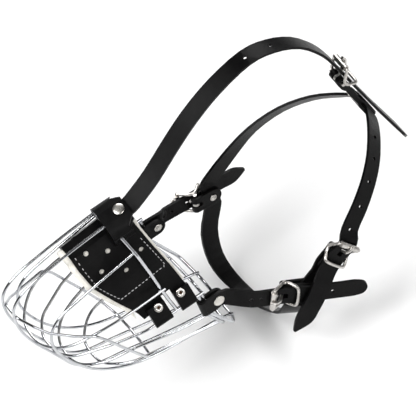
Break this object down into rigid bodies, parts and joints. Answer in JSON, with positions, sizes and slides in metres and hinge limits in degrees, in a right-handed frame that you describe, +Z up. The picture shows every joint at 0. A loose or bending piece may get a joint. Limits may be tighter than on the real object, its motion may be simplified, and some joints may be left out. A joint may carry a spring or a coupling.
{
  "type": "basket muzzle",
  "caption": "Wire basket muzzle for a large dog, with a felt-lined leather nose saddle and a leather harness of forehead strap, collar and cheek straps on roller buckles.",
  "frame": {"origin": "in the mouth opening, midway between the two rear posts of the basket, 15 mm below the side rails", "axes": "+Y from the nose towards the back of the head, +X to the dog's left, +Z up"},
  "size_m": [0.1567, 0.365, 0.2784],
  "materials": {
    "wire": "polished chrome-plated steel wire",
    "leather": "black, matte to satin",
    "felt": "cream wool felt",
    "buckle_metal": "nickel plate, worn satin",
    "rivet_metal": "nickel plate"
  },
  "bodies": {
    "basket": {"rim_arch": "wire", "rear_frame": "wire", "chin_bow": "wire", "bridge_wires": "wire", "outer_bridge_wires": "wire", "hoop_upper": "wire", "hoop_lower": "wire", "hoop_chin": "wire", "hoop_rail": "wire", "cross_ring": "wire", "nose_pad": "leather", "top_tab": "leather", "forehead_strap": "leather", "collar_strap": "leather", "crown_loop": "leather", "left_cheek_strap": "leather", "right_cheek_strap": "leather", "left_cheek_loop": "leather", "right_cheek_loop": "leather", "pad_lining": "felt", "pad_eyelets": "rivet_metal", "top_tab_rivet": "rivet_metal", "collar_fold_rivet": "rivet_metal", "crown_loop_rivet": "rivet_metal", "left_cheek_rivet": "rivet_metal", "right_cheek_rivet": "rivet_metal", "left_cheek_loop_rivet": "rivet_metal", "right_cheek_loop_rivet": "rivet_metal"},
    "crown_buckle_frame": {"crown_buckle_frame": "buckle_metal"},
    "crown_buckle_roller": {"crown_buckle_roller": "buckle_metal"},
    "crown_buckle_tongue": {"crown_buckle_tongue": "buckle_metal"},
    "collar_buckle_frame": {"collar_buckle_frame": "buckle_metal"},
    "collar_buckle_roller": {"collar_buckle_roller": "buckle_metal"},
    "collar_buckle_tongue": {"collar_buckle_tongue": "buckle_metal"},
    "left_buckle_frame": {"left_buckle_frame": "buckle_metal"},
    "left_buckle_roller": {"left_buckle_roller": "buckle_metal"},
    "left_buckle_tongue": {"left_buckle_tongue": "buckle_metal"},
    "right_buckle_frame": {"right_buckle_frame": "buckle_metal"},
    "right_buckle_roller": {"right_buckle_roller": "buckle_metal"},
    "right_buckle_tongue": {"right_buckle_tongue": "buckle_metal"}
  },
  "joints": [
    {"name": "crown_buckle_rock", "type": "hinge", "parent": "basket", "child": "crown_buckle_frame", "pos_m": [0, 0.18204, 0.08502], "axis": [-1, 0, 0], "range_deg": [-3, 3]},
    {"name": "crown_roller_spin", "type": "hinge", "parent": "crown_buckle_frame", "child": "crown_buckle_roller", "pos_m": [0, 0.18995, 0.0986], "axis": [-1, 0, 0], "continuous": true},
    {"name": "crown_tongue_lift", "type": "hinge", "parent": "crown_buckle_frame", "child": "crown_buckle_tongue", "pos_m": [0, 0.18204, 0.08502], "axis": [-1, 0, 0], "range_deg": [0, 25]},
    {"name": "collar_buckle_rock", "type": "hinge", "parent": "basket", "child": "collar_buckle_frame", "pos_m": [0.07336, 0.10681, -0.0078], "axis": [0.223, 0.5479, -0.8063], "range_deg": [-3, 3]},
    {"name": "collar_roller_spin", "type": "hinge", "parent": "collar_buckle_frame", "child": "collar_buckle_roller", "pos_m": [0.08504, 0.11371, 0.00012], "axis": [0.223, 0.5479, -0.8063], "continuous": true},
    {"name": "collar_tongue_lift", "type": "hinge", "parent": "collar_buckle_frame", "child": "collar_buckle_tongue", "pos_m": [0.07336, 0.10681, -0.0078], "axis": [0.223, 0.5479, -0.8063], "range_deg": [0, 25]},
    {"name": "left_buckle_rock", "type": "hinge", "parent": "basket", "child": "left_buckle_frame", "pos_m": [0.06319, 0.05289, -0.02588], "axis": [-0.0142, 0.4171, 0.9088], "range_deg": [-3, 3]},
    {"name": "left_roller_spin", "type": "hinge", "parent": "left_buckle_frame", "child": "left_buckle_roller", "pos_m": [0.07066, 0.04038, -0.02002], "axis": [-0.0142, 0.4171, 0.9088], "continuous": true},
    {"name": "left_tongue_lift", "type": "hinge", "parent": "left_buckle_frame", "child": "left_buckle_tongue", "pos_m": [0.06319, 0.05289, -0.02588], "axis": [-0.0142, 0.4171, 0.9088], "range_deg": [0, 25]},
    {"name": "right_buckle_rock", "type": "hinge", "parent": "basket", "child": "right_buckle_frame", "pos_m": [-0.05091, 0.04156, -0.00867], "axis": [-0.0215, -0.1792, -0.9836], "range_deg": [-3, 3]},
    {"name": "right_roller_spin", "type": "hinge", "parent": "right_buckle_frame", "child": "right_buckle_roller", "pos_m": [-0.06102, 0.02978, -0.00631], "axis": [-0.0215, -0.1792, -0.9836], "continuous": true},
    {"name": "right_tongue_lift", "type": "hinge", "parent": "right_buckle_frame", "child": "right_buckle_tongue", "pos_m": [-0.05091, 0.04156, -0.00867], "axis": [-0.0215, -0.1792, -0.9836], "range_deg": [0, 25]}
  ]
}
